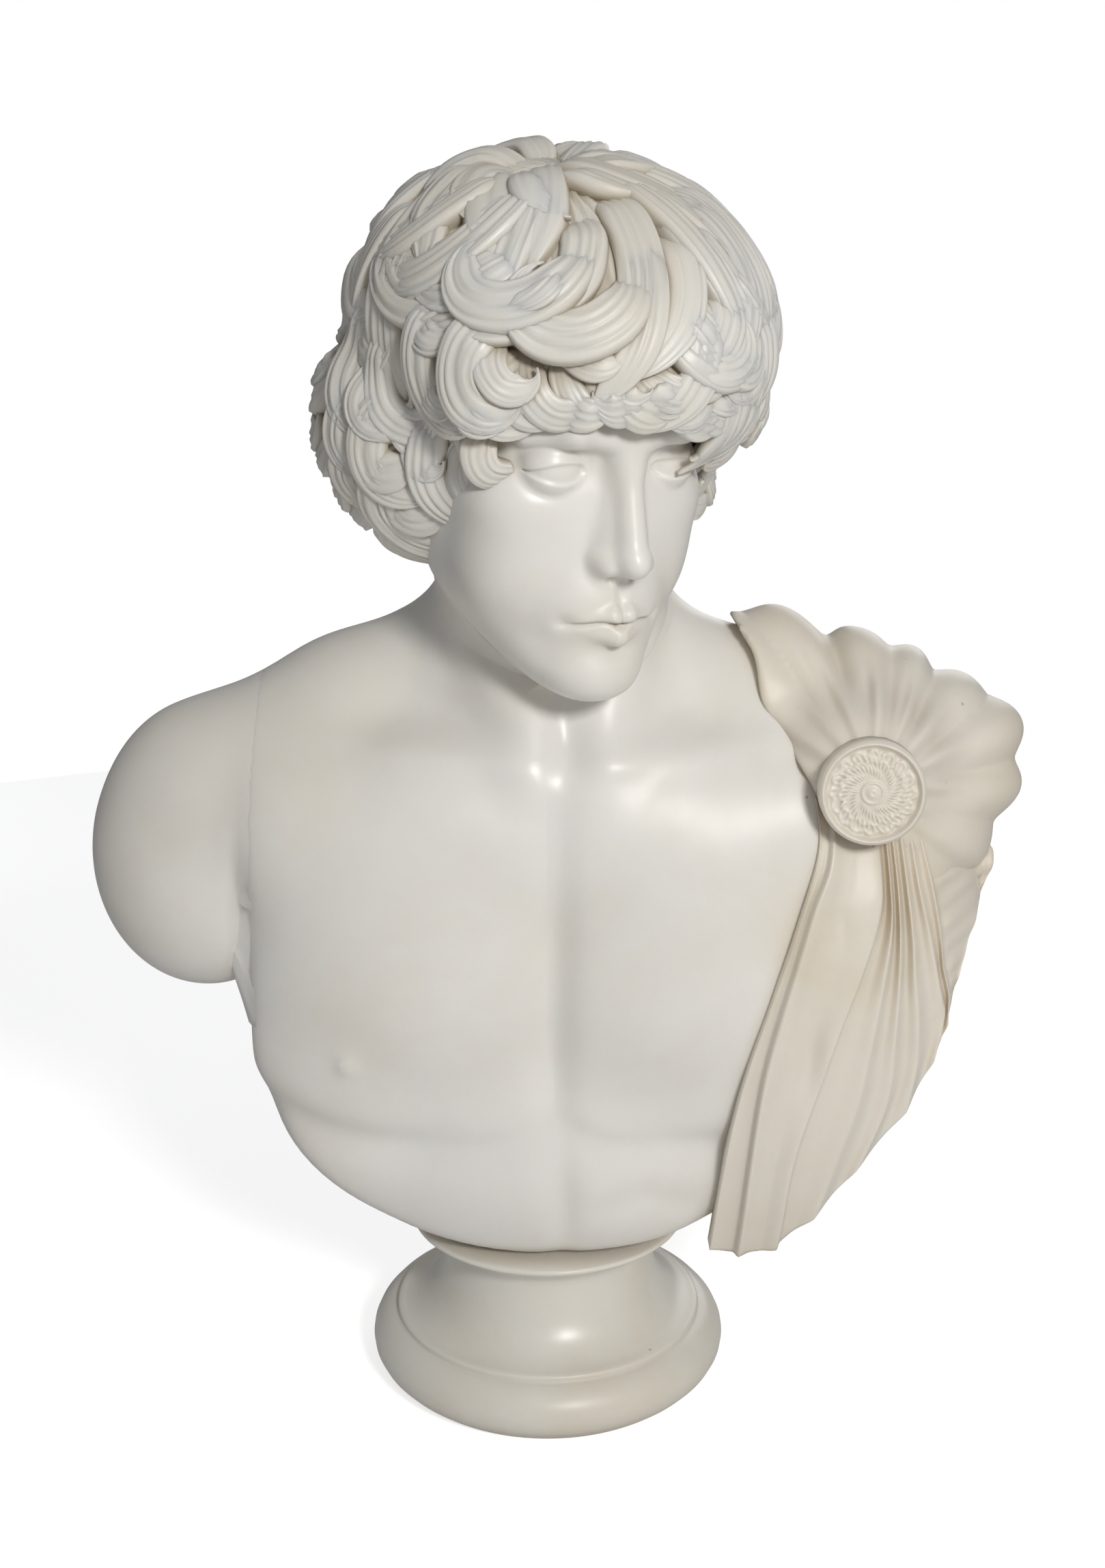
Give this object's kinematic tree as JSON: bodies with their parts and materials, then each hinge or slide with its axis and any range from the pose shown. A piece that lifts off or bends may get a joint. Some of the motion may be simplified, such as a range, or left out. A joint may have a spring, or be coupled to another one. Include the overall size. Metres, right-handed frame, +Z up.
{
  "type": "portrait bust",
  "caption": "Carved alabaster bust of a curly-haired young man with a cloak pinned on one shoulder, standing on a turned round socle.",
  "frame": {"origin": "centre of the socle's flat underside, on the surface the bust stands on", "axes": "+Z up through the socle's turning axis; the chest faces -Y; +X to the viewer's right, towards the draped shoulder"},
  "size_m": [0.5617, 0.2765, 0.7573],
  "materials": {
    "alabaster": "polished, softly translucent ivory white, warmer in the carved hollows",
    "alabaster_socle": "polished ivory, slightly yellower than the bust"
  },
  "bodies": {
    "root": {"bust": "alabaster", "socle": "alabaster_socle"}
  },
  "joints": []
}
